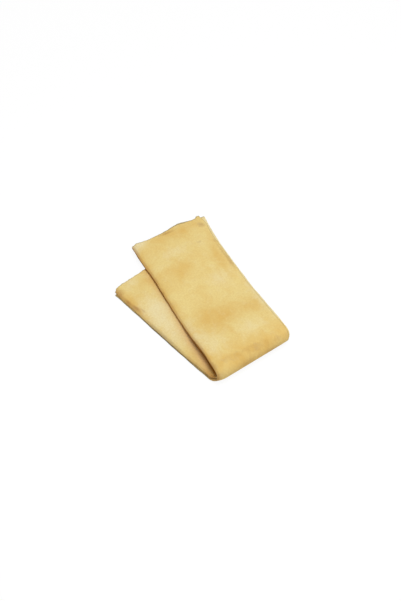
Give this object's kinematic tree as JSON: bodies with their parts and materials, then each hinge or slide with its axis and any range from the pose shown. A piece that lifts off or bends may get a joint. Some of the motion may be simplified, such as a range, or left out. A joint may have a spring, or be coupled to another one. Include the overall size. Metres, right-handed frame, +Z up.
{
  "type": "chamois leather",
  "caption": "A soft tan chamois skin pleated lengthwise into a strip and folded across on a slant, for drying and polishing glass and paintwork.",
  "frame": {"origin": "middle of the bounding box's underside, on the surface that the leather lies on", "axes": "+X towards the cross fold, +Y along the cross fold, +Z up"},
  "size_m": [0.2224, 0.1542, 0.0222],
  "materials": {
    "chamois": "soft suede nap, dry"
  },
  "bodies": {
    "lower_leaf": {"lower_ply_1": "chamois", "lower_ply_2": "chamois", "lower_ply_3": "chamois", "lower_ply_4": "chamois", "lower_left_crease_1_2": "chamois", "lower_right_crease_2_3": "chamois", "lower_left_crease_3_4": "chamois"},
    "fold_lower_band": {"fold_lower_ply_1": "chamois", "fold_lower_ply_2": "chamois", "fold_lower_ply_3": "chamois", "fold_lower_ply_4": "chamois", "fold_lower_left_crease_1_2": "chamois", "fold_lower_right_crease_2_3": "chamois", "fold_lower_left_crease_3_4": "chamois"},
    "fold_upper_band": {"fold_upper_ply_1": "chamois", "fold_upper_ply_2": "chamois", "fold_upper_ply_3": "chamois", "fold_upper_ply_4": "chamois", "fold_upper_left_crease_1_2": "chamois", "fold_upper_right_crease_2_3": "chamois", "fold_upper_left_crease_3_4": "chamois"},
    "upper_leaf": {"upper_ply_1": "chamois", "upper_ply_2": "chamois", "upper_ply_3": "chamois", "upper_ply_4": "chamois", "upper_left_crease_1_2": "chamois", "upper_right_crease_2_3": "chamois", "upper_left_crease_3_4": "chamois"}
  },
  "joints": [
    {"name": "cross_fold_1", "type": "hinge", "parent": "lower_leaf", "child": "fold_lower_band", "pos_m": [0.10569, -0.00396, 0.00154], "axis": [0, 1, 0], "range_deg": [0, 61.02]},
    {"name": "cross_fold_2", "type": "hinge", "parent": "fold_lower_band", "child": "fold_upper_band", "pos_m": [0.11116, -0.00288, 0.0114], "axis": [0, 1, 0], "range_deg": [0, 61.02]},
    {"name": "cross_fold_3", "type": "hinge", "parent": "fold_upper_band", "child": "upper_leaf", "pos_m": [0.10518, -0.0018, 0.02095], "axis": [0, 1, 0], "range_deg": [0, 61.02]}
  ],
  "couplings": [
    {"joint": "cross_fold_2", "follows": "cross_fold_1", "ratio": 1},
    {"joint": "cross_fold_3", "follows": "cross_fold_1", "ratio": 1}
  ]
}
